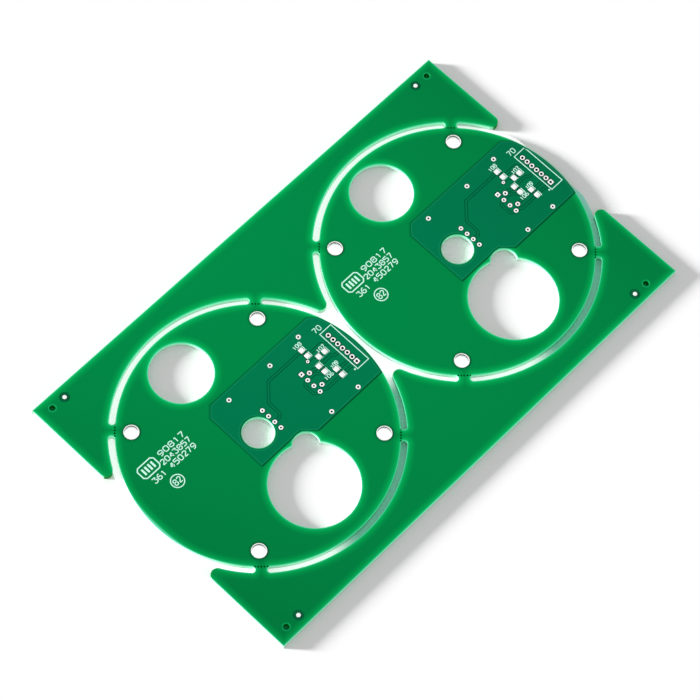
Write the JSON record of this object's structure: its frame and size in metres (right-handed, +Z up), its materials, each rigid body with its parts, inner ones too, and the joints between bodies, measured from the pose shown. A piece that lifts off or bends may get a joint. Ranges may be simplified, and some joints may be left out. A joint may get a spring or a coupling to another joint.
{
  "type": "bare circuit board",
  "caption": "Bare circuit board panel: round boards held in a routed frame by perforated break-off tabs, with green mask, tinned pads and plated holes.",
  "frame": {"origin": "middle of the panel on the underside that it rests on", "axes": "+X along the panel's long axis, from one round board to the other, towards the boards' headers; +Y across the panel, towards the round ports; +Z up, out of the printed side"},
  "size_m": [0.1296, 0.0786, 0.0016],
  "materials": {
    "glass_epoxy": "milled glass-epoxy laminate",
    "copper": "etched copper foil under the mask",
    "green_mask": "satin gloss",
    "tin": "levelled tin, bright",
    "legend_ink": "printed ink"
  },
  "bodies": {
    "root": {"laminate": "glass_epoxy", "pour_copper": "copper", "track_copper": "copper", "solder_mask": "green_mask", "pad_tin": "tin", "via_plating": "tin", "pin_hole_plating": "tin", "mounting_hole_plating": "tin", "alignment_dots": "tin", "legend_ink": "legend_ink"}
  },
  "joints": []
}
